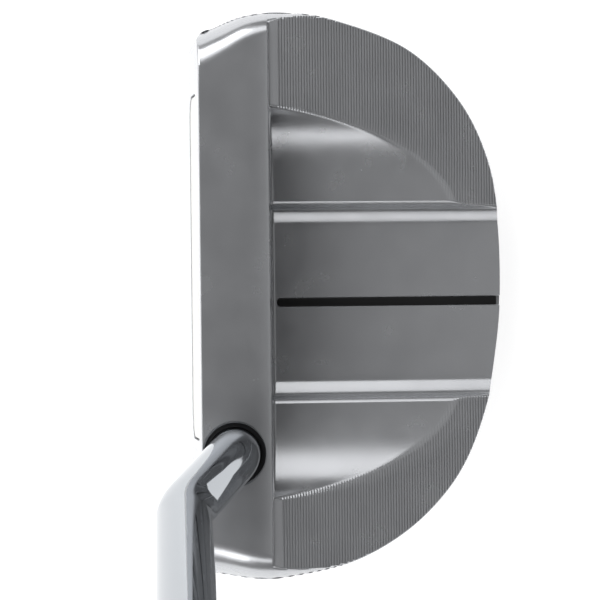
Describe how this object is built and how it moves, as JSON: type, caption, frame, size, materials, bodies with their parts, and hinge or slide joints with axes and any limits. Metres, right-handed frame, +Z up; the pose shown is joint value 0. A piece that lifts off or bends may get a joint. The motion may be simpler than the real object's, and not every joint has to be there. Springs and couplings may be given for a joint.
{
  "type": "mallet putter",
  "caption": "Right-handed mallet putter: satin steel D-shaped head with a milled top, sunken side pockets, a white face insert, a double-bend chromed shaft and a rubber grip.",
  "frame": {"origin": "middle of the flat sole, on the sole plate's outer face", "axes": "+X to the heel and the golfer, -X to the toe, -Y to the target, +Y to the rear of the head, +Z up. The shaft leans 20 degrees from +Z towards +X."},
  "size_m": [0.3873, 0.0736, 0.8391],
  "materials": {
    "head_steel": "fine satin blast, milled lines on the two crescents",
    "insert_white": "soft white urethane",
    "insert_core": "cream urethane",
    "tape": "double-sided adhesive tape",
    "black_paint": "black enamel fill",
    "plate_steel": "brushed",
    "gasket": "black sheet rubber",
    "screw_steel": "black oxide",
    "weight_steel": "turned, bright",
    "washer": "black",
    "ring_black": "black, fine turned lines",
    "epoxy": "amber epoxy",
    "cork": "cork",
    "shaft_chrome": "polished chrome",
    "underlisting": "firm foam",
    "grip_rubber": "matt black rubber, fine pimpled pattern",
    "grip_trim": "smooth black rubber"
  },
  "bodies": {
    "root": {"head_body": "head_steel", "insert_face": "insert_white", "insert_core": "insert_core", "insert_tape": "tape", "alignment_paint": "black_paint", "sole_plate": "plate_steel", "sole_plate_gasket": "gasket", "sole_plate_screw_1": "screw_steel", "sole_plate_screw_2": "screw_steel", "sole_plate_screw_3": "screw_steel", "sole_plate_screw_4": "screw_steel", "toe_weight": "weight_steel", "toe_weight_washer": "washer", "heel_weight": "weight_steel", "heel_weight_washer": "washer", "shaft_ring": "ring_black", "shaft_adhesive": "epoxy", "shaft_tip_plug": "cork", "shaft": "shaft_chrome", "grip_tape": "tape", "grip_underlisting": "underlisting", "grip_skin": "grip_rubber", "grip_collar": "grip_trim", "grip_cap": "grip_trim"}
  },
  "joints": []
}
